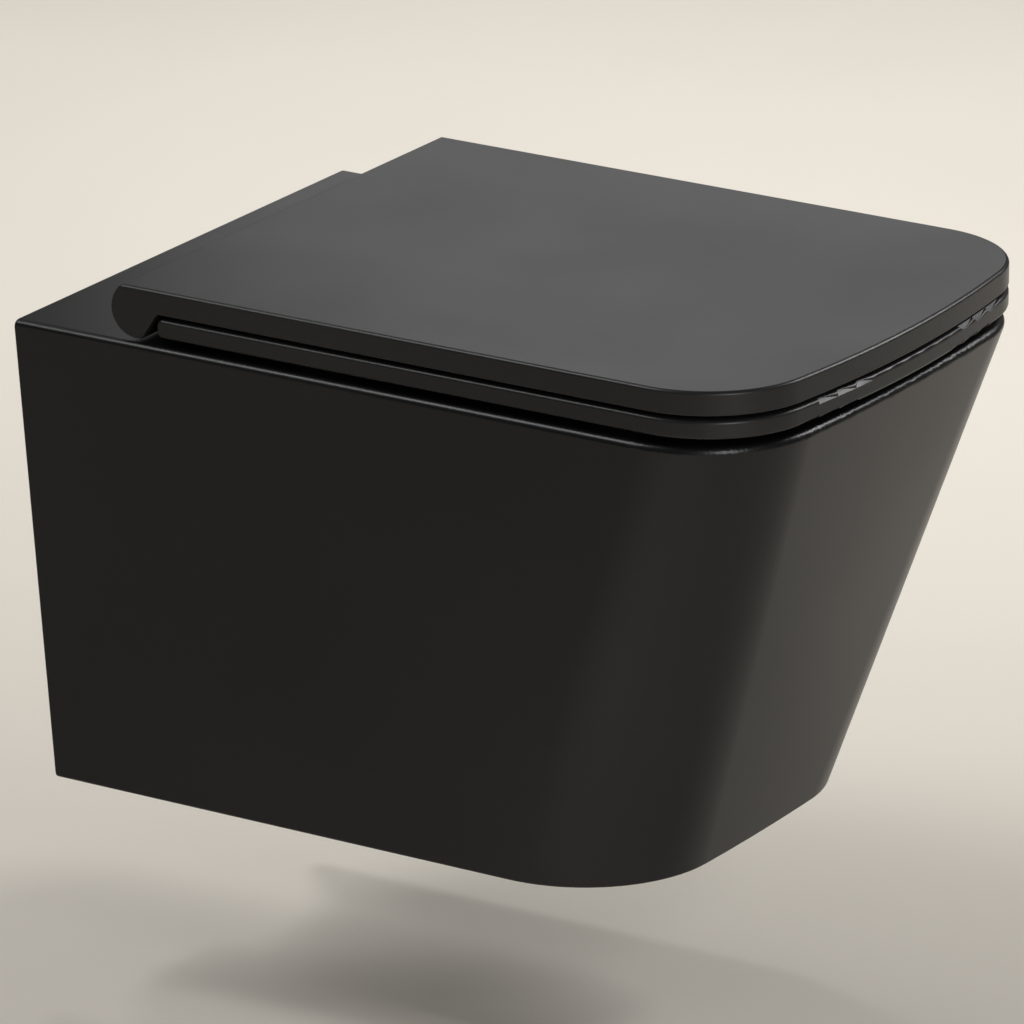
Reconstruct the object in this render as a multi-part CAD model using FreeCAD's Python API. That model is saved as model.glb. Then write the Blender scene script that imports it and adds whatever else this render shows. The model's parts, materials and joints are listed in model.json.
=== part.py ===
import FreeCAD, Part
import math
import os
from FreeCAD import Vector

# Wall hung toilet, in millimetres.
# X runs across, the front faces -Y, +Z is up and the wall is the plane y = 0.
# The origin is midway between the two wall bolt holes, on the wall plane.

# ---- pan: outside ----
PAN_HEIGHT = 308.0
BOLTS_ABOVE_PAN_BOTTOM = 223.0
RIM_HALF_WIDTH = 185.0
RIM_LENGTH = 520.3
RIM_CORNER_R = 80.7
RIM_FRONT_R = 1750.0
BOTTOM_HALF_WIDTH = 149.5
BOTTOM_LENGTH = 420.5
BOTTOM_CORNER_R = 88.8
BOTTOM_FRONT_R = 1920.0
RIM_EDGE_FILLET = 4.5
BOTTOM_EDGE_FILLET = 3.0
REAR_EDGE_FILLET = 2.0
SKIN_THICKNESS = 12.0
DECK_THICKNESS = 14.0
REAR_WEB_THICKNESS = 16.0
REAR_WEB_BELOW_BOLTS = 30.0
SERVICE_OPENING_LENGTH = 118.0

# ---- pan: bowl ----
BOWL_HALF_WIDTH = 140.0
RIM_WIDTH_FRONT = 40.0
BOWL_REAR = 186.0
BOWL_LIP_FILLET = 6.0
CHANNEL_DEPTH = 33.0
LEDGE_WIDTH = 7.0
BOWL_WALL = 9.0
LEDGE_FILLET = 2.5
SUMP_FROM_WALL = 290.0
# The bowl below its ledge, from the ledge to the sump's floor: the share of the depth, the shares of the way that
# the rear and front walls have come to the sump's middle, the share of the width, and how square the section is.
BOWL_SECTIONS = [
    (0.00, 0.00, 0.00, 1.00, 3.4),
    (0.22, 0.21, 0.10, 0.93, 3.0),
    (0.43, 0.42, 0.26, 0.77, 2.7),
    (0.64, 0.58, 0.51, 0.55, 2.4),
    (0.77, 0.71, 0.70, 0.38, 2.1),
    (0.89, 0.71, 0.83, 0.24, 2.0),
    (1.00, 0.84, 0.92, 0.11, 2.0),
]

# ---- pan: trap, outlet and inlet ----
TRAP_BORE_R = 30.0
TRAP_WALL = 8.0
TRAP_LOW_FROM_RIM = 240.0
TRAP_RISE = 110.0
TRAP_LOW_FROM_WALL = 262.0
TRAP_CREST_FROM_WALL = 150.0
OUTLET_BELOW_BOLTS = 100.0
OUTLET_R = 51.0
OUTLET_WALL = 8.0
OUTLET_LENGTH = 62.0
INLET_ABOVE_BOLTS = 35.0
INLET_BORE_R = 27.5
INLET_BORE_LENGTH = 44.0
INLET_WALL = 10.0
INLET_LENGTH = 62.0
FLUSH_SLOT_WIDTH = 110.0
FLUSH_SLOT_HEIGHT = 16.0
FLUSH_SLOT_BELOW_RIM = 14.0
FLUSH_CHAMBER_WALL = 8.0

# ---- pan: fixings ----
BOLT_SPACING = 180.0
WALL_SLEEVE_BORE_R = 6.5
WALL_SLEEVE_WALL = 2.5
WALL_SLEEVE_FLANGE_R = 17.0
WALL_SLEEVE_FLANGE = 3.0
WALL_SLEEVE_FIT = 0.3
BOLT_BOSS_R = 24.0
BOLT_BOSS_LENGTH = 42.0

# ---- lid and seat ----
LID_HALF_WIDTH = 181.5
LID_LENGTH = 522.7
LID_CORNER_R = 69.9
LID_FRONT_R = 889.0
LID_THICKNESS = 15.0
LID_EDGE_FILLET = 2.6
LID_LOWER_FILLET = 1.2
LID_TOP_ABOVE_RIM = 34.7
LID_SHELL = 6.5
LID_LIP_WIDTH = 15.0
LID_RECESS_REAR = 128.0
LID_RECESS_FILLET = 4.0
SEAT_THICKNESS = 12.0
SEAT_ABOVE_RIM = 5.0
SEAT_REAR = 102.6
SEAT_EDGE_FILLET = 2.8
SEAT_REAR_FILLET = 3.8
SEAT_HOLE_HALF_WIDTH = 112.0
SEAT_FRONT_WIDTH = 80.7
SEAT_HOLE_REAR = 168.0
SEAT_HOLE_SQUARENESS = 2.5
SEAT_HOLE_FILLET = 4.5

# ---- hinge ----
HINGE_FROM_WALL = 87.7
KNUCKLE_R = 17.8
KNUCKLE_AXIS_BELOW_LID_TOP = 14.5
KNUCKLE_FRONT_LOW = 4.2
KNUCKLE_FRONT_HIGH = 15.0
KNUCKLE_THROAT_FILLET = 4.5
HOOD_WALL = 2.7
HEAD_CLEARANCE = 0.6
POST_HALF_WIDTH = 10.0
POST_HALF_DEPTH = 7.0
POST_SIDE_CLEARANCE = 1.0
LUG_WIDTH = 34.0
LUG_GAP = 1.0
HOOD_OPEN_REAR = 45.0
LUG_SLOT_REAR = 12.0
LUG_HEEL_ANGLE = -80.0
SHAFT_R = 5.0
SHAFT_FLAT = 4.4
RUNNING_CLEARANCE = 0.05
BEARING_WALL = 3.0
SEAT_BEARING_LENGTH = 30.0
LID_BEARING_LENGTH = 42.0
BEARING_FIT = 0.03
SHAFT_END_GAP = 2.0

# ---- seat fixings in the deck ----
FIXING_SPACING = 155.0
FIXING_FROM_WALL = 60.0
DECK_HOLE_R = 7.5
DECK_BOSS_R = 16.0
DECK_BOSS_DEPTH = 26.0
GASKET_R = 18.0
GASKET_THICKNESS = 1.0
BASE_PLATE_R = 17.0
BASE_PLATE_THICKNESS = 1.6
STUD_R = 5.0
STUD_HEIGHT = 8.0
STUD_GROOVE_DEPTH = 1.5
STUD_GROOVE_HEIGHT = 2.6
STUD_GROOVE_LOW = 2.8
SCREW_R = 3.0
SCREW_LENGTH = 44.0
SCREW_PASS_CLEARANCE = 0.3
HEX_SOCKET_R = 2.9
HEX_SOCKET_DEPTH = 2.6
SLEEVE_CLEARANCE = 0.2
SLEEVE_LENGTH = 27.0
SLEEVE_COLLAR = 1.0
CONE_HEIGHT = 12.0
CONE_TOP_R = 5.0
THREAD_CLEARANCE = 0.05
SOCKET_CLEARANCE = 0.15
HINGE_FOOT_GAP = 0.15
HINGE_FOOT_THICKNESS = 3.2
HOUSING_BEFORE_STUD = 10.0
HOUSING_BEHIND_STUD = 17.0
HOUSING_HALF_WIDTH = 10.0
HOUSING_HEIGHT = 9.8
HOUSING_CHAMFER = 2.0

# ---- release latch ----
BUTTON_R = 2.0
BUTTON_HEAD_R = 3.0
BUTTON_HEAD_LENGTH = 3.0
BUTTON_TRAVEL = 3.0
BUTTON_CLEARANCE = 0.1
BUTTON_REST_PROUD = 0.2
LATCH_PLATE_THICKNESS = 2.0
LATCH_PLATE_HALF_WIDTH = 7.2
LATCH_PLATE_RIM = 1.6
LATCH_CLEARANCE = 0.15
LATCH_GRIP_CLEARANCE = 0.2
SPRING_WIRE_R = 0.4
SPRING_WIRE_SIDES = 12
SPRING_TURNS = 3.0
SPRING_POCKET_DEPTH = 6.8

# ---- bumpers ----
SEAT_BUMPER_LENGTH = 30.0
SEAT_BUMPER_WIDTH = 12.0
SEAT_BUMPER_INSET = 21.0
SEAT_BUMPER_FROM_WALL = 205.0
SEAT_BUMPER_FROM_FRONT = 107.7
LID_BUMPER_R = 6.0
LID_BUMPER_INSET = 27.0
LID_BUMPER_FROM_WALL = 190.0
LID_BUMPER_FROM_FRONT = 92.7

# ---- flow restrictor ----
RESTRICTOR_SEAT_R = 26.0
RESTRICTOR_WALL = 2.0
RESTRICTOR_LENGTH = 14.0
RESTRICTOR_HOLE_R = 16.0
RESTRICTOR_FIT = 0.3

# ---- places worked out from the sizes above ----
PAN_BOTTOM = -BOLTS_ABOVE_PAN_BOTTOM
RIM_TOP = PAN_BOTTOM + PAN_HEIGHT
LID_TOP = RIM_TOP + LID_TOP_ABOVE_RIM
LID_UNDER = LID_TOP - LID_THICKNESS
SEAT_UNDER = RIM_TOP + SEAT_ABOVE_RIM
SEAT_TOP = SEAT_UNDER + SEAT_THICKNESS
AXIS_Y = -HINGE_FROM_WALL
AXIS_Z = LID_TOP - KNUCKLE_AXIS_BELOW_LID_TOP
FIXING_Y = -FIXING_FROM_WALL
FIXING_X = FIXING_SPACING / 2
HOOD_BORE_R = KNUCKLE_AXIS_BELOW_LID_TOP - HOOD_WALL
HEAD_R = HOOD_BORE_R - HEAD_CLEARANCE
BEARING_R = SHAFT_R + BEARING_WALL
OVERSHOOT = 1.0  # how far a cutting solid passes the face that it cuts
OVERSHOOT_ANGLE = 1.0  # the same for a cut that turns about the hinge axis, in degrees
DOWN = -90.0  # the direction straight down about the hinge axis
CLOSE = 0.01  # points nearer than this are at the same place
FAR = 1000.0  # larger than the whole object
EGG_POLES = 16  # control points of a smooth oval
WEDGE_STEPS = 6  # straight sides that go round a wedge

SIDES = {"left": -1.0, "right": 1.0}


# ---- helpers ----
def d_outline(z, half_width, length, corner_r, front_r, rear=0.0):
    """A D shape: straight rear and sides, round corners and a slightly bowed front, as a closed wire."""
    front = -length
    arc_y = front + front_r
    corner_x = half_width - corner_r
    reach = front_r - corner_r
    corner_y = arc_y - math.sqrt(reach**2 - corner_x**2)
    lean = math.atan2(corner_x, arc_y - corner_y)
    middle = lean + (math.pi / 2 - lean) / 2

    def corner_point(side, angle):
        x = corner_x + corner_r * math.sin(angle)
        y = corner_y - corner_r * math.cos(angle)
        return Vector(side * x, y, z)

    def corner(side):
        ends = [corner_point(side, a) for a in (lean, middle, math.pi / 2)]
        if side > 0:
            ends.reverse()
        return Part.Arc(*ends).toShape()

    rear_left = Vector(-half_width, rear, z)
    rear_right = Vector(half_width, rear, z)
    tip = Vector(0, front, z)
    edges = [
        Part.LineSegment(rear_left, rear_right).toShape(),
        Part.LineSegment(rear_right, corner_point(1, math.pi / 2)).toShape(),
        corner(1),
        Part.Arc(corner_point(1, lean), tip, corner_point(-1, lean)).toShape(),
        corner(-1),
        Part.LineSegment(corner_point(-1, math.pi / 2), rear_left).toShape(),
    ]
    return Part.Wire(edges)


def slab(wire, height):
    """The upright solid on a flat wire."""
    return Part.Face(wire).extrude(Vector(0, 0, height))


def egg_wire(z, y_rear, y_front, half_width, squareness):
    """A closed smooth oval of the stated size: an ellipse at squareness 2, squarer above."""

    def along(value):
        return math.copysign(abs(value) ** (2 / squareness), value)

    turn = 2 * math.pi / EGG_POLES
    pull_in = (2 + along(math.cos(turn))) / 3
    middle = (y_rear + y_front) / 2
    half_length = abs(y_rear - y_front) / 2
    poles = []
    for i in range(EGG_POLES):
        across = along(math.cos(turn * i)) / pull_in
        forward = along(math.sin(turn * i)) / pull_in
        poles.append(Vector(half_width * across, middle + half_length * forward, z))
    curve = Part.BSplineCurve()
    curve.buildFromPolesMultsKnots(poles, [1] * (EGG_POLES + 1), list(range(EGG_POLES + 1)), True, 3)
    return Part.Wire([curve.toShape()])


def cylinder(radius, start, end):
    """A round bar from one point to another."""
    along = end - start
    return Part.makeCylinder(radius, along.Length, start, along)


def block(low, high):
    """An upright box between two corners."""
    size = high - low
    return Part.makeBox(size.x, size.y, size.z, low)


def edges_where(shape, test):
    """The edges of a shape whose every corner and midpoint pass a test."""
    found = []
    for edge in shape.Edges:
        middle = edge.valueAt((edge.FirstParameter + edge.LastParameter) / 2)
        points = [v.Point for v in edge.Vertexes] + [middle]
        if all(test(p) for p in points):
            found.append(edge)
    return found


def at_height(z):
    return lambda p: abs(p.z - z) < CLOSE


def is_upright(edge):
    return edge.BoundBox.XLength < CLOSE and edge.BoundBox.YLength < CLOSE


def side_profile(points, x_low, x_high):
    """A prism along X on a polygon of (y, z) points."""
    corners = [Vector(x_low, y, z) for y, z in points]
    wire = Part.makePolygon(corners + [corners[0]])
    return Part.Face(wire).extrude(Vector(x_high - x_low, 0, 0))


def around_axis(angle, radius):
    """The (y, z) point at an angle about the hinge axis: 0 is the rear, 90 the top, 180 the front."""
    turn = math.radians(angle)
    return AXIS_Y + radius * math.cos(turn), AXIS_Z + radius * math.sin(turn)


def axis_bar(radius, x_low, x_high):
    """A round bar on the hinge axis."""
    return cylinder(radius, Vector(x_low, AXIS_Y, AXIS_Z), Vector(x_high, AXIS_Y, AXIS_Z))


def mirrored(shape, side):
    """The shape on the right, or its mirror image on the left."""
    if side > 0:
        return shape
    return shape.mirror(Vector(0, 0, 0), Vector(1, 0, 0))


def ring(outer_r, inner_r, z_low, z_high, x, y):
    """An upright tube."""
    base = Vector(x, y, z_low)
    solid = Part.makeCylinder(outer_r, z_high - z_low, base)
    hole = Part.makeCylinder(inner_r, z_high - z_low + 2 * OVERSHOOT, base - Vector(0, 0, OVERSHOOT))
    return solid.cut(hole)


# ---- pan ----
def pan_loft(inset, z_low, z_high, rear):
    """The tapered D body between two heights, its skin moved inwards by inset."""
    ends = [
        (BOTTOM_HALF_WIDTH, RIM_HALF_WIDTH),
        (BOTTOM_LENGTH, RIM_LENGTH),
        (BOTTOM_CORNER_R, RIM_CORNER_R),
        (BOTTOM_FRONT_R, RIM_FRONT_R),
    ]
    wires = []
    for z in (z_low, z_high):
        share = (z - PAN_BOTTOM) / PAN_HEIGHT
        sizes = [bottom + (rim - bottom) * share - inset for bottom, rim in ends]
        wires.append(d_outline(z, *sizes, rear))
    return Part.makeLoft(wires, True, True)


def pan_skin():
    """The outer casting with its soft edges, still solid."""
    body = pan_loft(0.0, PAN_BOTTOM, RIM_TOP, OVERSHOOT)
    body = body.cut(block(Vector(-FAR, 0, -FAR), Vector(FAR, 2 * OVERSHOOT, FAR)))
    for height, fillet in ((RIM_TOP, RIM_EDGE_FILLET), (PAN_BOTTOM, BOTTOM_EDGE_FILLET)):
        edges = [e for e in edges_where(body, at_height(height)) if e.BoundBox.YMin < -OVERSHOOT]
        body = body.makeFillet(fillet, edges)
    on_wall = edges_where(body, lambda p: abs(p.y) < CLOSE)
    upright = [e for e in on_wall if e.BoundBox.ZLength > PAN_HEIGHT / 2]
    return body.makeFillet(REAR_EDGE_FILLET, upright)


def pan_hollow():
    """The space between skin and bowl, open to the wall and below at the rear, under the bolt web."""
    floor = PAN_BOTTOM + SKIN_THICKNESS
    hollow = pan_loft(SKIN_THICKNESS, floor, RIM_TOP - DECK_THICKNESS, -REAR_WEB_THICKNESS)
    web_low = -REAR_WEB_BELOW_BOLTS
    service = pan_loft(SKIN_THICKNESS, PAN_BOTTOM - OVERSHOOT, web_low, OVERSHOOT)
    keep = block(
        Vector(-FAR, -SERVICE_OPENING_LENGTH, PAN_BOTTOM - 2 * OVERSHOOT),
        Vector(FAR, 2 * OVERSHOOT, web_low + OVERSHOOT),
    )
    return hollow.fuse(service.common(keep))


def bowl_loft(thickness):
    """The bowl below its ledge, grown outwards by thickness."""
    ledge_z = RIM_TOP - CHANNEL_DEPTH
    depth = ledge_z - (RIM_TOP - TRAP_LOW_FROM_RIM - TRAP_BORE_R)
    rear_top = -BOWL_REAR - LEDGE_WIDTH
    front_top = -RIM_LENGTH + RIM_WIDTH_FRONT + LEDGE_WIDTH
    wires = []
    for down, rear_in, front_in, wide, squareness in BOWL_SECTIONS:
        rear = rear_top + (-SUMP_FROM_WALL - rear_top) * rear_in + thickness
        front = front_top + (-SUMP_FROM_WALL - front_top) * front_in - thickness
        half_width = (BOWL_HALF_WIDTH - LEDGE_WIDTH) * wide + thickness
        wires.append(egg_wire(ledge_z - depth * down - thickness, rear, front, half_width, squareness))
    return Part.makeLoft(wires, True, False)


def bowl_channel(thickness):
    """The upright wall between rim and ledge, where the flush runs round, grown outwards by thickness."""
    low = RIM_TOP - CHANNEL_DEPTH - thickness
    high = RIM_TOP - DECK_THICKNESS / 2 if thickness else RIM_TOP + OVERSHOOT
    front = -RIM_LENGTH + RIM_WIDTH_FRONT - thickness
    wire = egg_wire(low, -BOWL_REAR + thickness, front, BOWL_HALF_WIDTH + thickness, BOWL_SECTIONS[0][-1])
    return slab(wire, high - low)


def bowl_space():
    """The inside of the bowl, its ledge rounded over."""
    space = bowl_channel(0.0).fuse(bowl_loft(0.0))
    return space.makeFillet(LEDGE_FILLET, edges_where(space, at_height(RIM_TOP - CHANNEL_DEPTH)))


def s_bend(y_start, z_start, y_end, z_end):
    """Two equal arcs that leave and arrive level, in the middle plane."""
    run = y_end - y_start
    rise = z_end - z_start
    radius = (run**2 + rise**2) / (4 * abs(rise))
    turn = math.asin(run / (2 * radius)) if abs(rise) < run else math.pi - math.asin(run / (2 * radius))
    up = math.copysign(1.0, rise)

    def first(angle):
        return Vector(0, y_start + radius * math.sin(angle), z_start + up * radius * (1 - math.cos(angle)))

    def second(angle):
        return Vector(0, y_end - radius * math.sin(angle), z_end - up * radius * (1 - math.cos(angle)))

    return [
        Part.Arc(first(0), first(turn / 2), first(turn)).toShape(),
        Part.Arc(second(turn), second(turn / 2), second(0)).toShape(),
    ]


def trap_tube(radius):
    """The water way from the sump over the weir to the outlet."""
    low_z = RIM_TOP - TRAP_LOW_FROM_RIM
    crest_z = low_z + TRAP_RISE
    outlet_z = -OUTLET_BELOW_BOLTS
    low_y = -TRAP_LOW_FROM_WALL
    crest_y = -TRAP_CREST_FROM_WALL
    start = Vector(0, -SUMP_FROM_WALL, low_z)
    edges = [Part.LineSegment(start, Vector(0, low_y, low_z)).toShape()]
    edges += s_bend(low_y, low_z, crest_y, crest_z)
    edges += s_bend(crest_y, crest_z, -OUTLET_LENGTH, outlet_z)
    profile = Part.Wire([Part.makeCircle(radius, start, Vector(0, 1, 0))])
    tube = Part.Wire(edges).makePipeShell([profile], True, True)
    return tube.fuse(Part.makeSphere(radius, start))


def outlet_spigot(radius, front, rear):
    """The round outlet stub that the waste connector slides over."""
    z = -OUTLET_BELOW_BOLTS
    return cylinder(radius, Vector(0, front, z), Vector(0, rear, z))


def inlet_tube(radius, front, rear):
    """The round flush inlet."""
    z = INLET_ABOVE_BOLTS
    return cylinder(radius, Vector(0, front, z), Vector(0, rear, z))


def flush_chamber(thickness, slot_front):
    """The flat duct from the inlet to the slot at the back of the bowl, grown outwards by thickness."""
    half = FLUSH_SLOT_WIDTH / 2 + thickness
    high = RIM_TOP - FLUSH_SLOT_BELOW_RIM + thickness
    low = high - FLUSH_SLOT_HEIGHT - 2 * thickness
    slot_rear = -INLET_LENGTH - INLET_BORE_R + thickness
    slot = block(Vector(-half, slot_front, low), Vector(half, slot_rear, high))
    well_half = INLET_BORE_R + thickness
    well_front = -INLET_LENGTH - 2 * INLET_BORE_R - thickness
    well_rear = -INLET_LENGTH + thickness
    floor = INLET_ABOVE_BOLTS - INLET_BORE_R - thickness
    well = block(Vector(-well_half, well_front, floor), Vector(well_half, well_rear, high))
    return slot.fuse(well)


def pan_walls():
    """Everything that stands inside the skin, still solid."""
    inside = pan_loft(0.0, PAN_BOTTOM, RIM_TOP, 0.0)
    walls = [
        bowl_channel(BOWL_WALL),
        bowl_loft(BOWL_WALL),
        trap_tube(TRAP_BORE_R + TRAP_WALL),
        outlet_spigot(OUTLET_R, -OUTLET_LENGTH - OUTLET_WALL, 0.0),
        inlet_tube(INLET_BORE_R + INLET_WALL, -INLET_LENGTH, 0.0),
        flush_chamber(FLUSH_CHAMBER_WALL, -BOWL_REAR).common(inside),
    ]
    for side in SIDES.values():
        bolt = Vector(side * BOLT_SPACING / 2, 0, 0)
        walls.append(cylinder(BOLT_BOSS_R, bolt, bolt - Vector(0, BOLT_BOSS_LENGTH, 0)))
        fixing = Vector(side * FIXING_X, FIXING_Y, RIM_TOP - DECK_THICKNESS / 2)
        walls.append(cylinder(DECK_BOSS_R, fixing, Vector(fixing.x, fixing.y, RIM_TOP - DECK_BOSS_DEPTH)))
    return walls


def pan_holes():
    """The water way from inlet to outlet, and the holes for the fixings."""
    holes = [
        bowl_space(),
        trap_tube(TRAP_BORE_R),
        outlet_spigot(OUTLET_R - OUTLET_WALL, -OUTLET_LENGTH, OVERSHOOT),
        inlet_tube(INLET_BORE_R, -INLET_BORE_LENGTH, OVERSHOOT),
        inlet_tube(RESTRICTOR_SEAT_R, -INLET_LENGTH - OVERSHOOT, OVERSHOOT),
        flush_chamber(0.0, -BOWL_REAR - LEDGE_WIDTH),
    ]
    sleeve_r = WALL_SLEEVE_BORE_R + WALL_SLEEVE_WALL + WALL_SLEEVE_FIT
    for side in SIDES.values():
        front = Vector(side * BOLT_SPACING / 2, -BOLT_BOSS_LENGTH - OVERSHOOT, 0)
        holes.append(cylinder(sleeve_r, front, Vector(front.x, OVERSHOOT, 0)))
        below = Vector(side * FIXING_X, FIXING_Y, RIM_TOP - DECK_BOSS_DEPTH - OVERSHOOT)
        holes.append(cylinder(DECK_HOLE_R, below, Vector(below.x, below.y, RIM_TOP + OVERSHOOT)))
    return holes


def pan():
    """The whole ceramic casting."""
    body = pan_skin().cut(pan_hollow()).fuse(pan_walls())
    for hole in pan_holes():
        body = body.cut(hole)
    lip = [
        edge
        for edge in edges_where(body, at_height(RIM_TOP))
        if edge.BoundBox.YMax < -BOWL_REAR / 2 and edge.BoundBox.YMin > -RIM_LENGTH + RIM_WIDTH_FRONT / 2
    ]
    return body.makeFillet(BOWL_LIP_FILLET, lip)


# ---- lid and seat ----
def knuckle_profile():
    """The outline of the lid's rear end as a wire at x = 0: flat top, round back, slanted front."""
    back_top = AXIS_Y + math.sqrt(KNUCKLE_R**2 - KNUCKLE_AXIS_BELOW_LID_TOP**2)
    foot_z = AXIS_Z - math.sqrt(KNUCKLE_R**2 - KNUCKLE_FRONT_LOW**2)
    corners = [
        Vector(0, -LID_RECESS_REAR, LID_TOP),
        Vector(0, back_top, LID_TOP),
        Vector(0, AXIS_Y - KNUCKLE_FRONT_LOW, foot_z),
        Vector(0, AXIS_Y - KNUCKLE_FRONT_HIGH, LID_UNDER),
        Vector(0, -LID_RECESS_REAR, LID_UNDER),
    ]
    edges = [
        Part.LineSegment(corners[0], corners[1]).toShape(),
        Part.Arc(corners[1], Vector(0, AXIS_Y + KNUCKLE_R, AXIS_Z), corners[2]).toShape(),
        Part.LineSegment(corners[2], corners[3]).toShape(),
        Part.LineSegment(corners[3], corners[4]).toShape(),
        Part.LineSegment(corners[4], corners[0]).toShape(),
    ]
    return Part.Wire(edges)


def lid_knuckle():
    """The full width barrel with its slanted front, blended into the slab."""
    solid = Part.Face(knuckle_profile()).extrude(Vector(2 * LID_HALF_WIDTH, 0, 0))
    solid.translate(Vector(-LID_HALF_WIDTH, 0, 0))
    throat_y = AXIS_Y - KNUCKLE_FRONT_HIGH
    throat = [e for e in edges_where(solid, at_height(LID_UNDER)) if abs(e.BoundBox.YMin - throat_y) < CLOSE]
    return solid.makeFillet(KNUCKLE_THROAT_FILLET, throat)


def lid_slab():
    """The flat D slab in front of the knuckle."""
    rear = -(HINGE_FROM_WALL + LID_RECESS_REAR) / 2
    wire = d_outline(LID_UNDER, LID_HALF_WIDTH, LID_LENGTH, LID_CORNER_R, LID_FRONT_R, rear)
    return slab(wire, LID_THICKNESS)


def wedge(angle_low, angle_high, radius, x_low, x_high):
    """A prism that covers the directions between two angles about the hinge axis."""
    points = [(AXIS_Y, AXIS_Z)]
    for i in range(WEDGE_STEPS + 1):
        angle = angle_low + (angle_high - angle_low) * i / WEDGE_STEPS
        points.append(around_axis(angle, radius))
    return side_profile(points, x_low, x_high)


def hinge_cuts():
    """What the hinge posts and the seat's lugs need to be free of in the lid's knuckle."""
    reach = 2 * KNUCKLE_R
    post_in = FIXING_X - POST_HALF_WIDTH - POST_SIDE_CLEARANCE
    post_out = FIXING_X + POST_HALF_WIDTH + POST_SIDE_CLEARANCE
    under = side_profile(
        [
            (AXIS_Y, AXIS_Z),
            (AXIS_Y, AXIS_Z - reach),
            (-LID_RECESS_REAR, AXIS_Z - reach),
            (-LID_RECESS_REAR, LID_UNDER),
            (AXIS_Y - HOOD_BORE_R, LID_UNDER),
        ],
        -post_out,
        post_out,
    )
    post_gap = wedge(DOWN - OVERSHOOT_ANGLE, HOOD_OPEN_REAR, reach, post_in, post_out)
    return [
        axis_bar(HOOD_BORE_R, -post_out, post_out),
        wedge(DOWN - OVERSHOOT_ANGLE, DOWN + LUG_SLOT_REAR, reach, -post_in, post_in),
        under,
        post_gap,
        mirrored(post_gap, -1.0),
    ]


def lid_bearing_bore(side):
    """The blind pocket in the knuckle that holds the damper or the bush."""
    start = FIXING_X + POST_HALF_WIDTH
    return mirrored(axis_bar(BEARING_R + BEARING_FIT, start, start + POST_SIDE_CLEARANCE + LID_BEARING_LENGTH), side)


def lid_recess():
    """The hollow under the lid that leaves an even shell."""
    wire = d_outline(
        LID_UNDER - OVERSHOOT,
        LID_HALF_WIDTH - LID_LIP_WIDTH,
        LID_LENGTH - LID_LIP_WIDTH,
        LID_CORNER_R - LID_LIP_WIDTH,
        LID_FRONT_R - LID_LIP_WIDTH,
        -LID_RECESS_REAR,
    )
    solid = slab(wire, LID_THICKNESS - LID_SHELL + OVERSHOOT)
    ceiling = edges_where(solid, at_height(LID_TOP - LID_SHELL))
    return solid.makeFillet(LID_RECESS_FILLET, ceiling)


def lid():
    """The lid, one moulding with its knuckle."""
    body = lid_slab().fuse(lid_knuckle()).removeSplitter()

    def on_outline(p):
        return abs(abs(p.x) - LID_HALF_WIDTH) < CLOSE or p.y < -LID_LENGTH / 2

    top = [e for e in edges_where(body, on_outline) if e.BoundBox.ZMin > LID_TOP - CLOSE]
    body = body.makeFillet(LID_EDGE_FILLET, top)
    middle = LID_TOP - LID_THICKNESS / 2
    lower = [e for e in edges_where(body, on_outline) if e.BoundBox.ZMin < middle and not is_upright(e)]
    body = body.makeFillet(LID_LOWER_FILLET, lower)
    for cut in hinge_cuts():
        body = body.cut(cut)
    for side in SIDES.values():
        body = body.cut(lid_bearing_bore(side))
    return body.cut(lid_recess())


def seat_hole():
    """The opening of the seat ring."""
    wire = egg_wire(
        SEAT_UNDER - OVERSHOOT,
        -SEAT_HOLE_REAR,
        SEAT_FRONT_WIDTH - LID_LENGTH,
        SEAT_HOLE_HALF_WIDTH,
        SEAT_HOLE_SQUARENESS,
    )
    return slab(wire, SEAT_THICKNESS + 2 * OVERSHOOT)


def seat_lug(side):
    """One hinge lug: a round head on the axis and its arm to the ring."""
    outer = FIXING_X - POST_HALF_WIDTH - LUG_GAP
    inner = outer - LUG_WIDTH
    head = axis_bar(HEAD_R, inner, outer)
    arm = side_profile(
        [
            around_axis(LUG_HEEL_ANGLE, HEAD_R),
            (AXIS_Y, SEAT_TOP),
            (-SEAT_REAR - SEAT_REAR_FILLET - OVERSHOOT, SEAT_TOP),
            (-SEAT_REAR - SEAT_REAR_FILLET - OVERSHOOT, SEAT_UNDER),
            (AXIS_Y - HEAD_R / 2, SEAT_UNDER),
        ],
        inner,
        outer,
    )
    return mirrored(head.fuse(arm).removeSplitter(), side)


def seat():
    """The seat ring with its two hinge lugs."""
    wire = d_outline(SEAT_UNDER, LID_HALF_WIDTH, LID_LENGTH, LID_CORNER_R, LID_FRONT_R, -SEAT_REAR)
    body = slab(wire, SEAT_THICKNESS)
    rear_edges = edges_where(body, lambda p: abs(p.y + SEAT_REAR) < CLOSE)
    body = body.makeFillet(SEAT_REAR_FILLET, [e for e in rear_edges if not is_upright(e)])
    along_rear = 2 * LID_HALF_WIDTH - CLOSE
    outline = [
        e
        for z in (SEAT_UNDER, SEAT_TOP)
        for e in edges_where(body, at_height(z))
        if e.BoundBox.XLength < along_rear
    ]
    body = body.makeFillet(SEAT_EDGE_FILLET, outline)
    body = body.cut(seat_hole())
    inside = [
        e
        for z in (SEAT_UNDER, SEAT_TOP)
        for e in edges_where(body, at_height(z))
        if e.BoundBox.XMax < SEAT_HOLE_HALF_WIDTH + OVERSHOOT and e.BoundBox.YMax < -SEAT_HOLE_REAR + OVERSHOOT
    ]
    body = body.makeFillet(SEAT_HOLE_FILLET, inside)
    for side in SIDES.values():
        body = body.fuse(seat_lug(side))
    return body.removeSplitter().cut(axis_bar(BEARING_R + BEARING_FIT, -FIXING_X, FIXING_X))


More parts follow.
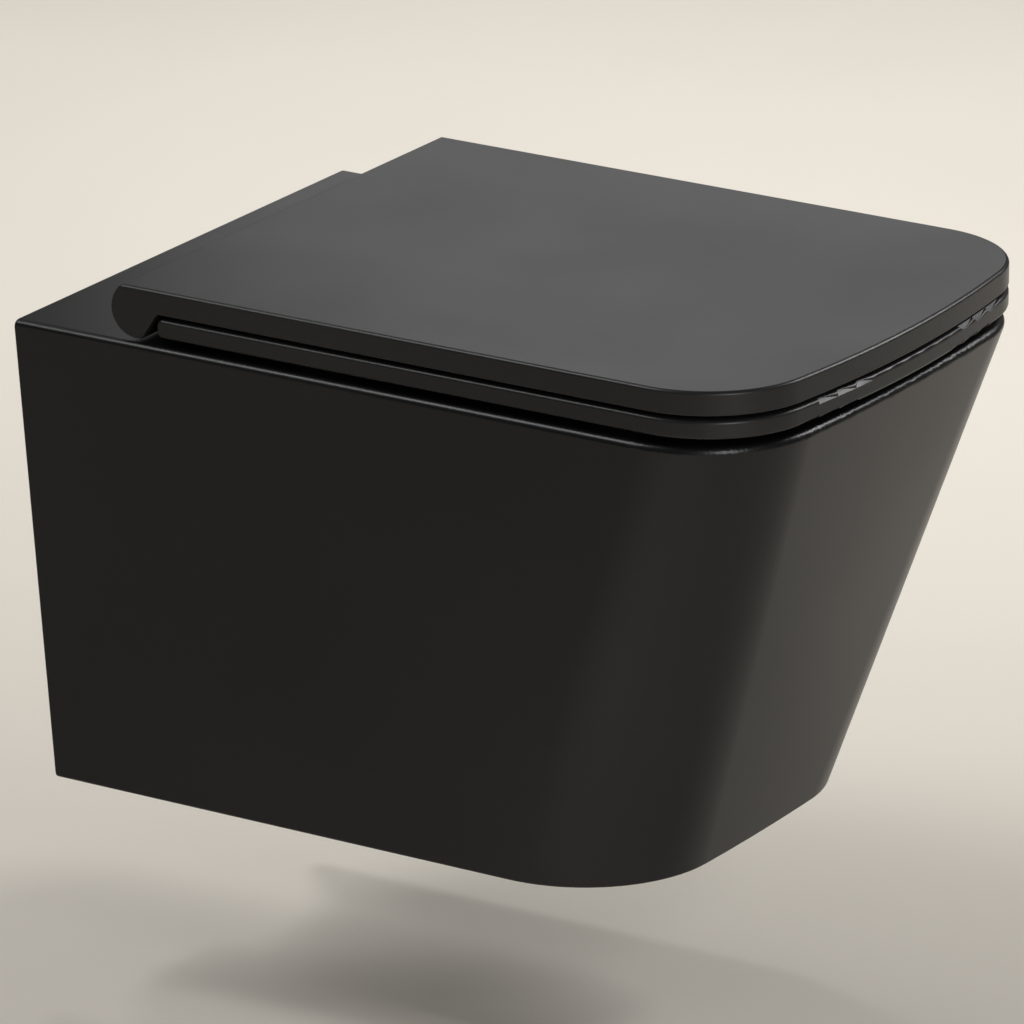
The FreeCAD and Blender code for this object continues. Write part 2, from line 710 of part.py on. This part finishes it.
# ---- hinge pieces ----
def hinge_shaft(side):
    """The pin through seat, post and lid, with two flats that key it."""
    outer = FIXING_X + POST_HALF_WIDTH + POST_SIDE_CLEARANCE + LID_BEARING_LENGTH - SHAFT_END_GAP
    inner = FIXING_X - POST_HALF_WIDTH - LUG_GAP - LUG_WIDTH
    bar = axis_bar(SHAFT_R, inner, outer)
    flats = block(
        Vector(FIXING_X + POST_HALF_WIDTH + POST_SIDE_CLEARANCE, AXIS_Y - SHAFT_R, AXIS_Z + SHAFT_FLAT),
        Vector(outer + OVERSHOOT, AXIS_Y + SHAFT_R, AXIS_Z + SHAFT_R + OVERSHOOT),
    )
    return mirrored(bar.cut(flats), side)


def bearing(start, length, side):
    """A plain round sleeve on the hinge axis."""
    outer = axis_bar(BEARING_R, start, start + length)
    inner = axis_bar(SHAFT_R + RUNNING_CLEARANCE, start - OVERSHOOT, start + length + OVERSHOOT)
    return mirrored(outer.cut(inner), side)


def lid_bearing(side):
    return bearing(FIXING_X + POST_HALF_WIDTH + POST_SIDE_CLEARANCE, LID_BEARING_LENGTH, side)


def seat_bearing(side):
    return bearing(FIXING_X - POST_HALF_WIDTH - LUG_GAP - SEAT_BEARING_LENGTH, SEAT_BEARING_LENGTH, side)


def stud_base():
    """The height at which the stud's head stands on the base plate."""
    return RIM_TOP + GASKET_THICKNESS + BASE_PLATE_THICKNESS


def latch_height():
    """The height of the latch's axis: the middle of the stud's groove."""
    return stud_base() + STUD_GROOVE_LOW + STUD_GROOVE_HEIGHT / 2


def housing_rear():
    """The rear face of the latch's housing."""
    return FIXING_Y + HOUSING_BEHIND_STUD


def spring_seat():
    """The floor of the latch's counterbore, where the spring rests."""
    return housing_rear() - SPRING_POCKET_DEPTH


def button_head_front():
    """The front face of the button's head at rest."""
    return housing_rear() + BUTTON_TRAVEL + BUTTON_REST_PROUD - BUTTON_HEAD_LENGTH


def grip_half_width():
    """Half the width of the latch's narrow slot, which holds the stud's groove."""
    return STUD_R - STUD_GROOVE_DEPTH + LATCH_GRIP_CLEARANCE


def latch_plate_front():
    return FIXING_Y - grip_half_width() - LATCH_PLATE_RIM


def latch_plate_rear():
    return FIXING_Y + BUTTON_TRAVEL + STUD_R + LATCH_GRIP_CLEARANCE + LATCH_PLATE_RIM


def latch_bar(radius, y_front, y_rear):
    """A round bar on the latch's axis."""
    z = latch_height()
    return cylinder(radius, Vector(FIXING_X, y_front, z), Vector(FIXING_X, y_rear, z))


def hinge_body(side):
    """The cast post: a housing over the stud and the latch, a foot, and a neck up to the hinge axis."""
    low = stud_base() + HINGE_FOOT_GAP
    left = FIXING_X - POST_HALF_WIDTH
    right = FIXING_X + POST_HALF_WIDTH
    neck = block(Vector(left, AXIS_Y - POST_HALF_DEPTH, low), Vector(right, AXIS_Y + POST_HALF_DEPTH, AXIS_Z))
    foot = block(Vector(left, AXIS_Y, low), Vector(right, FIXING_Y, low + HINGE_FOOT_THICKNESS))
    housing = block(
        Vector(FIXING_X - HOUSING_HALF_WIDTH, FIXING_Y - HOUSING_BEFORE_STUD, low),
        Vector(FIXING_X + HOUSING_HALF_WIDTH, housing_rear(), low + HOUSING_HEIGHT),
    )
    top_edges = edges_where(housing, at_height(low + HOUSING_HEIGHT))
    rear_top = [e for e in top_edges if abs(e.BoundBox.YMin - housing_rear()) < CLOSE]
    housing = housing.makeChamfer(HOUSING_CHAMFER, rear_top)
    head = axis_bar(HEAD_R, left, right)
    body = neck.fuse([foot, housing, head]).removeSplitter()
    socket_top = stud_base() + STUD_HEIGHT + SOCKET_CLEARANCE
    stud_foot = Vector(FIXING_X, FIXING_Y, low - OVERSHOOT)
    slot_half = LATCH_PLATE_HALF_WIDTH + LATCH_CLEARANCE
    slot_high = LATCH_PLATE_THICKNESS / 2 + LATCH_CLEARANCE
    slot_front = latch_plate_front() - BUTTON_TRAVEL - LATCH_CLEARANCE
    past_rear = housing_rear() + OVERSHOOT
    stem_front = latch_plate_rear() - LATCH_PLATE_RIM / 2 - BUTTON_TRAVEL - LATCH_CLEARANCE
    cuts = [
        Part.makeCylinder(STUD_R + SOCKET_CLEARANCE, socket_top - stud_foot.z, stud_foot),
        block(
            Vector(FIXING_X - slot_half, slot_front, latch_height() - slot_high),
            Vector(FIXING_X + slot_half, past_rear, latch_height() + slot_high),
        ),
        latch_bar(BUTTON_R + BUTTON_CLEARANCE, stem_front, past_rear),
        latch_bar(BUTTON_HEAD_R + BUTTON_CLEARANCE, spring_seat(), past_rear),
        axis_bar(SHAFT_R, left - OVERSHOOT, right + OVERSHOOT),
    ]
    return mirrored(body.cut(cuts), side)


def release_button(side):
    """The latch: a keyhole plate that grips the stud's groove, on the stem of a button at the rear."""
    low = latch_height() - LATCH_PLATE_THICKNESS / 2
    plate = block(
        Vector(FIXING_X - LATCH_PLATE_HALF_WIDTH, latch_plate_front(), low),
        Vector(FIXING_X + LATCH_PLATE_HALF_WIDTH, latch_plate_rear(), low + LATCH_PLATE_THICKNESS),
    )
    under = Vector(FIXING_X, FIXING_Y, low - OVERSHOOT)
    height = LATCH_PLATE_THICKNESS + 2 * OVERSHOOT
    grip = grip_half_width()
    wide = Part.makeCylinder(STUD_R + LATCH_GRIP_CLEARANCE, height, under + Vector(0, BUTTON_TRAVEL, 0))
    narrow = Part.makeCylinder(grip, height, under)
    neck = block(under - Vector(grip, 0, 0), under + Vector(grip, BUTTON_TRAVEL, height))
    head_front = button_head_front()
    stem = latch_bar(BUTTON_R, latch_plate_rear() - LATCH_PLATE_RIM / 2, head_front)
    head = latch_bar(BUTTON_HEAD_R, head_front, head_front + BUTTON_HEAD_LENGTH)
    button = plate.cut([wide, narrow, neck]).fuse([stem, head]).removeSplitter()
    return mirrored(button, side)


def spring_wire_section(coil_r):
    """The wire's section: a near round polygon, so that the coil is made of ruled faces."""
    corners = []
    for i in range(SPRING_WIRE_SIDES):
        angle = math.radians(i * 360 / SPRING_WIRE_SIDES)
        corners.append(
            Vector(coil_r + SPRING_WIRE_R * math.cos(angle), 0, SPRING_WIRE_R * math.sin(angle))
        )
    return Part.makePolygon(corners + [corners[0]])


def release_spring(side):
    """The coil between the counterbore's floor and the button's head."""
    start_y = spring_seat() + SPRING_WIRE_R
    length = button_head_front() - SPRING_WIRE_R - start_y
    coil_r = (BUTTON_R + BUTTON_HEAD_R) / 2
    helix = Part.makeHelix(length / SPRING_TURNS, length, coil_r)
    coil = Part.Wire(helix.Edges).makePipeShell([spring_wire_section(coil_r)], True, True)
    coil.rotate(Vector(0, 0, 0), Vector(1, 0, 0), -90)
    coil.translate(Vector(FIXING_X, start_y, latch_height()))
    return mirrored(coil, side)


# ---- deck fixings ----
def deck_gasket(side):
    low = RIM_TOP
    return ring(GASKET_R, DECK_HOLE_R, low, low + GASKET_THICKNESS, side * FIXING_X, FIXING_Y)


def base_plate(side):
    low = RIM_TOP + GASKET_THICKNESS
    hole = SCREW_R + SCREW_PASS_CLEARANCE
    return ring(BASE_PLATE_R, hole, low, low + BASE_PLATE_THICKNESS, side * FIXING_X, FIXING_Y)


def pivot_screw(side):
    """A screw whose tall head is the stud that the hinge post drops on."""
    low = stud_base()
    base = Vector(side * FIXING_X, FIXING_Y, low)
    head = Part.makeCylinder(STUD_R, STUD_HEIGHT, base)
    groove_low = low + STUD_GROOVE_LOW
    groove = ring(
        STUD_R + OVERSHOOT, STUD_R - STUD_GROOVE_DEPTH, groove_low, groove_low + STUD_GROOVE_HEIGHT, base.x, base.y
    )
    shank = Part.makeCylinder(SCREW_R, SCREW_LENGTH, base, Vector(0, 0, -1))
    corners = []
    for i in range(7):
        angle = math.radians(60 * i)
        corners.append(
            Vector(
                base.x + HEX_SOCKET_R * math.cos(angle),
                base.y + HEX_SOCKET_R * math.sin(angle),
                low + STUD_HEIGHT - HEX_SOCKET_DEPTH,
            )
        )
    socket = Part.Face(Part.makePolygon(corners)).extrude(Vector(0, 0, HEX_SOCKET_DEPTH + OVERSHOOT))
    return head.fuse(shank).removeSplitter().cut(groove).cut(socket)


def expansion_sleeve(side):
    """The rubber sleeve that the cone nut spreads in the deck's hole."""
    top = RIM_TOP + GASKET_THICKNESS
    low = top - SLEEVE_LENGTH
    x = side * FIXING_X
    outer = DECK_HOLE_R - SLEEVE_CLEARANCE
    tube = ring(outer, SCREW_R + SCREW_PASS_CLEARANCE, low, top, x, FIXING_Y)
    cone = Part.makeCone(
        DECK_HOLE_R - SLEEVE_COLLAR, CONE_TOP_R, CONE_HEIGHT / 2, Vector(x, FIXING_Y, low)
    )
    return tube.cut(cone)


def cone_nut(side):
    """The threaded cone at the screw's lower end."""
    low = RIM_TOP + GASKET_THICKNESS - SLEEVE_LENGTH
    x = side * FIXING_X
    base = Vector(x, FIXING_Y, low - CONE_HEIGHT / 2)
    foot = Part.makeCylinder(DECK_HOLE_R - SLEEVE_COLLAR, CONE_HEIGHT / 2, base)
    cone = Part.makeCone(
        DECK_HOLE_R - SLEEVE_COLLAR, CONE_TOP_R, CONE_HEIGHT / 2, Vector(x, FIXING_Y, low)
    )
    bore_r = SCREW_R + THREAD_CLEARANCE
    bore = Part.makeCylinder(bore_r, CONE_HEIGHT + 2 * OVERSHOOT, base - Vector(0, 0, OVERSHOOT))
    return foot.fuse(cone).removeSplitter().cut(bore)


# ---- wall fixings and inlet ----
def wall_sleeve(side):
    """The nylon sleeve in a bolt hole, with its flange on the boss."""
    x = side * BOLT_SPACING / 2
    front = -BOLT_BOSS_LENGTH
    body = cylinder(WALL_SLEEVE_BORE_R + WALL_SLEEVE_WALL, Vector(x, front, 0), Vector(x, 0, 0))
    flange = cylinder(
        WALL_SLEEVE_FLANGE_R, Vector(x, front - WALL_SLEEVE_FLANGE, 0), Vector(x, front, 0)
    )
    bore = cylinder(
        WALL_SLEEVE_BORE_R,
        Vector(x, front - WALL_SLEEVE_FLANGE - OVERSHOOT, 0),
        Vector(x, OVERSHOOT, 0),
    )
    return body.fuse(flange).removeSplitter().cut(bore)


def flow_restrictor():
    """The insert that limits the flush, in the inlet's inner end."""
    rear = -INLET_BORE_LENGTH
    front = rear - RESTRICTOR_LENGTH
    outer_r = RESTRICTOR_SEAT_R - RESTRICTOR_FIT
    cup = inlet_tube(outer_r, front, rear)
    inside = inlet_tube(outer_r - RESTRICTOR_WALL, front + RESTRICTOR_WALL, rear + OVERSHOOT)
    hole = inlet_tube(RESTRICTOR_HOLE_R, front - OVERSHOOT, rear)
    return cup.cut([inside, hole])


# ---- bumpers ----
def stadium(x, y, z, length, width, height):
    """An upright pad with round ends, its length along Y."""
    half = (length - width) / 2
    middle = block(Vector(x - width / 2, y - half, z), Vector(x + width / 2, y + half, z + height))
    ends = [Part.makeCylinder(width / 2, height, Vector(x, y + end * half, z)) for end in (-1, 1)]
    return middle.fuse(ends).removeSplitter()


def seat_bumpers():
    """Four buffers under the seat ring."""
    pads = []
    for y in (-SEAT_BUMPER_FROM_WALL, SEAT_BUMPER_FROM_FRONT - LID_LENGTH):
        for side in SIDES.values():
            x = side * (LID_HALF_WIDTH - SEAT_BUMPER_INSET)
            pads.append(stadium(x, y, RIM_TOP, SEAT_BUMPER_LENGTH, SEAT_BUMPER_WIDTH, SEAT_ABOVE_RIM))
    return Part.Compound(pads)


def lid_bumpers():
    """Four round buffers under the lid, standing on the seat ring."""
    height = LID_TOP - LID_SHELL - SEAT_TOP
    pads = []
    for y in (-LID_BUMPER_FROM_WALL, LID_BUMPER_FROM_FRONT - LID_LENGTH):
        for side in SIDES.values():
            x = side * (LID_HALF_WIDTH - LID_BUMPER_INSET)
            pads.append(Part.makeCylinder(LID_BUMPER_R, height, Vector(x, y, SEAT_TOP)))
    return Part.Compound(pads)


def main():
    """Build every piece and write one file for each."""
    nodes = {
        "pan": pan(),
        "lid": lid(),
        "seat": seat(),
        "lid_damper": lid_bearing(-1.0),
        "lid_bush": lid_bearing(1.0),
        "seat_bush": seat_bearing(-1.0),
        "seat_damper": seat_bearing(1.0),
        "seat_bumpers": seat_bumpers(),
        "lid_bumpers": lid_bumpers(),
        "flow_restrictor": flow_restrictor(),
    }
    pairs = {
        "hinge_body": hinge_body,
        "hinge_shaft": hinge_shaft,
        "release_button": release_button,
        "release_spring": release_spring,
        "pivot_screw": pivot_screw,
        "base_plate": base_plate,
        "deck_gasket": deck_gasket,
        "expansion_sleeve": expansion_sleeve,
        "cone_nut": cone_nut,
        "wall_sleeve": wall_sleeve,
    }
    for name, make in pairs.items():
        for word, side in SIDES.items():
            nodes[f"{name}_{word}"] = make(side)
    os.makedirs("parts", exist_ok=True)
    for name, shape in nodes.items():
        shape.exportStep(f"parts/{name}.step")


main()
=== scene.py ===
import json
import math

import bmesh
import bpy
import numpy as np
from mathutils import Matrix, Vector

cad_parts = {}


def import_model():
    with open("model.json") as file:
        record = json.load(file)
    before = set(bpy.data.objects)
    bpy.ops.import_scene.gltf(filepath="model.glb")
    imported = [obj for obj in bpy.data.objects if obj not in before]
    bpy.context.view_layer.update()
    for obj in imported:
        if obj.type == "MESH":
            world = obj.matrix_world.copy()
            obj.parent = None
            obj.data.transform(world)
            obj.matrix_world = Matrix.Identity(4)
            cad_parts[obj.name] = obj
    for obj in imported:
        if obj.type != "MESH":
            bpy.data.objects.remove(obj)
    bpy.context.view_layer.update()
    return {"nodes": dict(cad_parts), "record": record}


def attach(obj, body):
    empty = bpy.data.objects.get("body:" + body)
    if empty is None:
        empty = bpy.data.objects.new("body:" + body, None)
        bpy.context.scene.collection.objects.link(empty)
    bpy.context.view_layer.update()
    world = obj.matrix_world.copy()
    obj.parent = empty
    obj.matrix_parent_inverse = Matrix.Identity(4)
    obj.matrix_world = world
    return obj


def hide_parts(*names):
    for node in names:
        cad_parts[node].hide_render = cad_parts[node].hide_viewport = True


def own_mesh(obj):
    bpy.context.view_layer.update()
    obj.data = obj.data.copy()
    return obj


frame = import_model()

# Metres, in the CAD frame: origin between the wall bolts, front towards -Y, +Z up.

# ---- sizes shared with the CAD source ----
PAN_BOTTOM = -0.223
RIM_TOP = 0.085
# half width, length, corner radius and front radius of the D outlines
PAN_FOOT = (0.1495, 0.4205, 0.0888, 1.920)
PAN_RIM = (0.185, 0.5203, 0.0807, 1.750)
LID_OUTLINE = (0.1815, 0.5227, 0.0699, 0.889)

# ---- how the meshes are smoothed ----
ON_SURFACE = 0.0004  # a point this near an outline is on it
SAME_FACE = math.cos(math.radians(20))  # a face and the outline agree
SMOOTH = math.cos(math.radians(35))  # faces that meet flatter than this are one surface
MERGE_DISTANCE = 1e-6
SLIVER_EDGE = 1e-7
SLOPE_STEP = 0.001  # the height over which an outline's change gives the skin's slope
NEVER_ZERO = 1e-12

# ---- finishes ----
BLOTCH_DETAIL = 3.0
GRAIN_DETAIL = 2.0
NOISE_LOW, NOISE_HIGH = 0.3, 0.7  # the range that a noise mostly fills
GRAIN_ROUGHNESS = 0.012
BUMP_DISTANCE = 0.0005

# ---- stage ----
FLOOR_Z = -0.358
FLOOR_HALF = 15.0
WORLD_COLOUR = (1.0, 0.97, 0.93, 1)
WORLD_STRENGTH = 0.1
SPOT_RADIUS = 0.2
CAMERA_LENS = 309.1  # millimetres
CAMERA_SENSOR = 36.0
CAMERA_REACH = 100.0
CAMERA_PLACE = (-4.33071, -2.93484, 1.73217)
CAMERA_FORWARD = (0.80170652, 0.49858994, -0.32965851)
# place, target, width, height, watts
SOFTBOXES = {
    "key": ((2.2, -1.5, 1.7), (0, -0.3, 0), 1.0, 1.0, 38),
    "back": ((0.6, 2.2, 3.0), (0.6, 2.2, 0), 3.0, 3.0, 13),
    "front_left": ((-1.6, -2.6, 1.0), (0, -0.4, 0), 0.7, 1.8, 38),
    "rear_right": ((2.2, 0.9, 1.0), (0.1, -0.4, 0.12), 1.0, 0.9, 3.0),
    "overhead": ((-0.8, 0.95, 2.2), (0, -0.25, 0.1), 0.8, 0.8, 20),
}
# place, target, cone in degrees, watts
SPOTS = {
    "pool": ((-1.3, -1.5, 1.6), (-0.47, -0.44, FLOOR_Z), 16, 130),
    "backdrop": ((1.5, 0.9, 3.5), (1.4, 0.8, FLOOR_Z), 56, 300),
}


# ---- meshes ----
def d_distance(x, y, size):
    """How far points lie outside a D outline, and the outline's normal at each."""
    half_width, length, corner_r, front_r = size
    arc_y = front_r - length
    corner_x = half_width - corner_r
    corner_y = arc_y - np.sqrt((front_r - corner_r) ** 2 - corner_x**2)
    side = np.sign(x)
    across = np.abs(x)
    lean = np.arctan2(corner_x, arc_y - corner_y)
    from_arc = np.hypot(across, arc_y - y)
    from_corner = np.hypot(across - corner_x, corner_y - y)
    in_front = np.arctan2(across, arc_y - y) < lean
    in_side = (y > corner_y) & ~in_front
    distance = np.where(in_front, from_arc - front_r, from_corner - corner_r)
    distance = np.where(in_side, across - half_width, distance)
    from_corner = np.maximum(from_corner, NEVER_ZERO)
    nx = np.where(in_front, across / from_arc, (across - corner_x) / from_corner)
    ny = np.where(in_front, (y - arc_y) / from_arc, (y - corner_y) / from_corner)
    nx = np.where(in_side, 1.0, nx) * side
    ny = np.where(in_side, 0.0, ny)
    return distance, nx, ny


def tapered_skin(points, foot, rim, low, high):
    """Distance and normal of points against a D body whose outline changes evenly with height."""
    x, y, z = points.T

    def at(height):
        share = (height - low) / (high - low)
        return d_distance(x, y, [a + (b - a) * share for a, b in zip(foot, rim)])

    distance, nx, ny = at(z)
    above = at(z + SLOPE_STEP)[0]
    normal = np.stack([nx, ny, (above - distance) / SLOPE_STEP], axis=1)
    normal /= np.linalg.norm(normal, axis=1, keepdims=True)
    return distance, normal


def pan_skin(points):
    return tapered_skin(points, PAN_FOOT, PAN_RIM, PAN_BOTTOM, RIM_TOP)


def lid_skin(points):
    """The seat and the lid share one outline at every height."""
    return tapered_skin(points, LID_OUTLINE, LID_OUTLINE, PAN_BOTTOM, RIM_TOP)


def corner_normals(mesh, skin):
    """Smooth normals: flat faces stay flat, and points on the skin get its exact normal."""
    count = len(mesh.loops)
    corner_point = np.empty(count, int)
    mesh.loops.foreach_get("vertex_index", corner_point)
    sizes = np.array([len(p.vertices) for p in mesh.polygons])
    corner_face = np.repeat(np.arange(len(sizes)), sizes)
    points = np.empty(3 * len(mesh.vertices))
    mesh.vertices.foreach_get("co", points)
    points = points.reshape(-1, 3)
    normals = np.empty(3 * len(sizes))
    mesh.polygons.foreach_get("normal", normals)
    normals = normals.reshape(-1, 3)
    areas = np.empty(len(sizes))
    mesh.polygons.foreach_get("area", areas)
    offset = np.einsum("ij,ij->i", normals, points[corner_point[np.cumsum(sizes) - 1]])
    plane = np.column_stack([np.round(normals, 3), np.round(offset, 4)])
    same_plane = np.unique(plane, axis=0, return_inverse=True)[1].ravel()
    weight = np.bincount(same_plane, weights=areas)[same_plane]

    # Every pair of face corners that share a point, so that each corner can add up the faces
    # that are like its own.
    order = np.argsort(corner_point, kind="stable")
    at_point = np.bincount(corner_point, minlength=len(points))
    first_at = np.cumsum(at_point) - at_point
    partners = at_point[corner_point]
    one = np.repeat(np.arange(count), partners)
    step = np.arange(len(one)) - np.repeat(np.cumsum(partners) - partners, partners)
    other = order[first_at[corner_point[one]] + step]
    own = normals[corner_face[one]]
    near = normals[corner_face[other]]
    share = weight[corner_face[other]] * (np.einsum("ij,ij->i", own, near) > SMOOTH)
    sums = [np.bincount(one, weights=near[:, k] * share, minlength=count) for k in range(3)]
    total = np.stack(sums, axis=1) + NEVER_ZERO * normals[corner_face]
    total /= np.maximum(np.linalg.norm(total, axis=1, keepdims=True), NEVER_ZERO)
    if skin is not None:
        distance, exact = skin(points)
        exact = exact[corner_point]
        on_skin = np.abs(distance[corner_point]) < ON_SURFACE
        on_skin &= np.einsum("ij,ij->i", normals[corner_face], exact) > SAME_FACE
        total[on_skin] = exact[on_skin]
    return total


def polished(name, node, body, skin=None):
    """A CAD node's shape with exact surface normals, as the piece that is seen."""
    mesh = frame["nodes"][node].data.copy()
    mesh.name = name
    bm = bmesh.new()
    bm.from_mesh(mesh)
    bmesh.ops.remove_doubles(bm, verts=bm.verts, dist=MERGE_DISTANCE)
    bmesh.ops.dissolve_degenerate(bm, dist=SLIVER_EDGE, edges=bm.edges)
    bm.to_mesh(mesh)
    bm.free()
    mesh.polygons.foreach_set("use_smooth", [True] * len(mesh.polygons))
    mesh.normals_split_custom_set(corner_normals(mesh, skin))
    obj = bpy.data.objects.new(name, mesh)
    bpy.context.scene.collection.objects.link(obj)
    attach(obj, body)
    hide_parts(node)
    return obj


# ---- materials ----
def noise(nt, scale, detail, coords):
    n = nt.nodes.new("ShaderNodeTexNoise")
    n.inputs["Scale"].default_value = scale
    n.inputs["Detail"].default_value = detail
    nt.links.new(coords, n.inputs["Vector"])
    return n.outputs["Fac"]


def map_range(nt, value, low, high):
    m = nt.nodes.new("ShaderNodeMapRange")
    m.inputs["From Min"].default_value = NOISE_LOW
    m.inputs["From Max"].default_value = NOISE_HIGH
    m.inputs["To Min"].default_value = low
    m.inputs["To Max"].default_value = high
    nt.links.new(value, m.inputs["Value"])
    return m.outputs["Result"]


def surface(name, dark, light, rough, grain, bump, blotch=9.0, stretch=(1, 1, 1), **sockets):
    """A finish whose colour and roughness drift in soft blotches, with a fine grain in the bump."""
    mat = bpy.data.materials.new(name)
    mat.use_nodes = True
    nt = mat.node_tree
    bsdf = nt.nodes["Principled BSDF"]
    coord = nt.nodes.new("ShaderNodeTexCoord")
    mapping = nt.nodes.new("ShaderNodeMapping")
    mapping.inputs["Scale"].default_value = stretch
    nt.links.new(coord.outputs["Object"], mapping.inputs["Vector"])
    soft = noise(nt, blotch, BLOTCH_DETAIL, coord.outputs["Object"])
    fine = noise(nt, grain, GRAIN_DETAIL, mapping.outputs["Vector"])
    ramp = nt.nodes.new("ShaderNodeValToRGB")
    ramp.color_ramp.elements[0].position = NOISE_LOW
    ramp.color_ramp.elements[1].position = NOISE_HIGH
    ramp.color_ramp.elements[0].color = (*dark, 1)
    ramp.color_ramp.elements[1].color = (*light, 1)
    nt.links.new(soft, ramp.inputs["Fac"])
    nt.links.new(ramp.outputs["Color"], bsdf.inputs["Base Color"])
    both = nt.nodes.new("ShaderNodeMath")
    both.operation = "ADD"
    nt.links.new(map_range(nt, soft, rough[0], rough[1]), both.inputs[0])
    nt.links.new(map_range(nt, fine, -GRAIN_ROUGHNESS, GRAIN_ROUGHNESS), both.inputs[1])
    nt.links.new(both.outputs["Value"], bsdf.inputs["Roughness"])
    b = nt.nodes.new("ShaderNodeBump")
    b.inputs["Strength"].default_value = bump
    b.inputs["Distance"].default_value = BUMP_DISTANCE
    nt.links.new(fine, b.inputs["Height"])
    nt.links.new(b.outputs["Normal"], bsdf.inputs["Normal"])
    for socket, value in sockets.items():
        bsdf.inputs[socket.replace("_", " ")].default_value = value
    return mat


MATERIALS = {
    "ceramic": surface(
        "matt_glaze", (0.0040, 0.0042, 0.0047), (0.0055, 0.0058, 0.0063), (0.30, 0.34),
        blotch=7.0, grain=900.0, bump=0.03, Specular_IOR_Level=0.30,
    ),
    "seat_plastic": surface(
        "satin_moulding", (0.0120, 0.0120, 0.0124), (0.0150, 0.0150, 0.0156), (0.33, 0.37),
        blotch=8.0, grain=1400.0, bump=0.05, Specular_IOR_Level=0.30,
    ),
    "button_plastic": surface(
        "button_plastic", (0.020, 0.020, 0.021), (0.027, 0.027, 0.028), (0.42, 0.50),
        grain=2500.0, bump=0.08,
    ),
    "damper_plastic": surface(
        "damper_plastic", (0.17, 0.18, 0.19), (0.21, 0.22, 0.23), (0.36, 0.44),
        grain=2200.0, bump=0.08,
    ),
    "nylon": surface(
        "nylon", (0.70, 0.69, 0.64), (0.78, 0.77, 0.73), (0.40, 0.50),
        grain=1800.0, bump=0.10,
    ),
    "bumper_rubber": surface(
        "soft_rubber", (0.018, 0.018, 0.018), (0.028, 0.028, 0.028), (0.62, 0.74),
        grain=2600.0, bump=0.20,
    ),
    "hinge_metal": surface(
        "satin_chrome", (0.58, 0.58, 0.60), (0.66, 0.66, 0.68), (0.20, 0.28),
        grain=1600.0, bump=0.06, stretch=(1, 0.08, 1), Metallic=1.0,
    ),
    "steel": surface(
        "turned_steel", (0.50, 0.50, 0.51), (0.60, 0.60, 0.61), (0.24, 0.34),
        grain=3000.0, bump=0.12, stretch=(0.1, 0.1, 1), Metallic=1.0,
    ),
    "brass": surface(
        "turned_brass", (0.60, 0.44, 0.20), (0.70, 0.53, 0.27), (0.28, 0.38),
        grain=3000.0, bump=0.12, stretch=(0.1, 0.1, 1), Metallic=1.0,
    ),
}


# ---- pieces ----
def paint(obj, slot):
    obj.data.materials.clear()
    obj.data.materials.append(MATERIALS[slot])


slots = {s["node"]: s["material_slot"] for s in frame["record"]["subparts"]}
bodies = frame["record"]["behaviour"]["bodies"]
body_of = {node: body for body, nodes in bodies.items() for node in nodes}
SKINS = {"pan": pan_skin, "lid": lid_skin, "seat": lid_skin}
for node in frame["nodes"]:
    piece = polished(f"{node}_piece", node, body_of[node], SKINS.get(node))
    paint(piece, slots[node])
    if node.startswith("release_spring"):
        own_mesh(piece)


# ---- stage ----
def add(name, data):
    obj = bpy.data.objects.new(name, data)
    bpy.context.scene.collection.objects.link(obj)
    return obj


def aim(obj, place, forward):
    obj.location = place
    obj.rotation_euler = Vector(forward).to_track_quat("-Z", "Y").to_euler()


def floor():
    half = FLOOR_HALF
    corners = [(-half, -half), (half, -half), (half, half), (-half, half)]
    mesh = bpy.data.meshes.new("floor")
    mesh.from_pydata([(x, y, FLOOR_Z) for x, y in corners], [], [(0, 1, 2, 3)])
    mesh.materials.append(
        surface(
            "floor_stone", (0.74, 0.69, 0.61), (0.77, 0.72, 0.645), (0.62, 0.70),
            blotch=1.4, grain=60.0, bump=0.02, Specular_IOR_Level=0.2,
        )
    )
    add("floor", mesh)


def world():
    w = bpy.data.worlds.new("studio")
    bpy.context.scene.world = w
    w.use_nodes = True
    background = w.node_tree.nodes["Background"]
    background.inputs["Color"].default_value = WORLD_COLOUR
    background.inputs["Strength"].default_value = WORLD_STRENGTH


def camera():
    cam = bpy.data.cameras.new("camera")
    cam.lens = CAMERA_LENS
    cam.sensor_width = CAMERA_SENSOR
    cam.clip_end = CAMERA_REACH
    obj = add("camera", cam)
    aim(obj, CAMERA_PLACE, CAMERA_FORWARD)
    bpy.context.scene.camera = obj


def softbox(name, place, target, width, height, power):
    light = bpy.data.lights.new(name, "AREA")
    light.shape = "RECTANGLE"
    light.size = width
    light.size_y = height
    light.energy = power
    aim(add(name, light), place, Vector(target) - Vector(place))


def spot(name, place, target, cone, power):
    """A soft spot that lights the floor beside or behind the part."""
    light = bpy.data.lights.new(name, "SPOT")
    light.spot_size = math.radians(cone)
    light.spot_blend = 1.0
    light.shadow_soft_size = SPOT_RADIUS
    light.energy = power
    aim(add(name, light), place, Vector(target) - Vector(place))


floor()
world()
camera()
for name, lamp in SOFTBOXES.items():
    softbox(name, *lamp)
for name, lamp in SPOTS.items():
    spot(name, *lamp)
bpy.context.scene.view_settings.view_transform = "Standard"
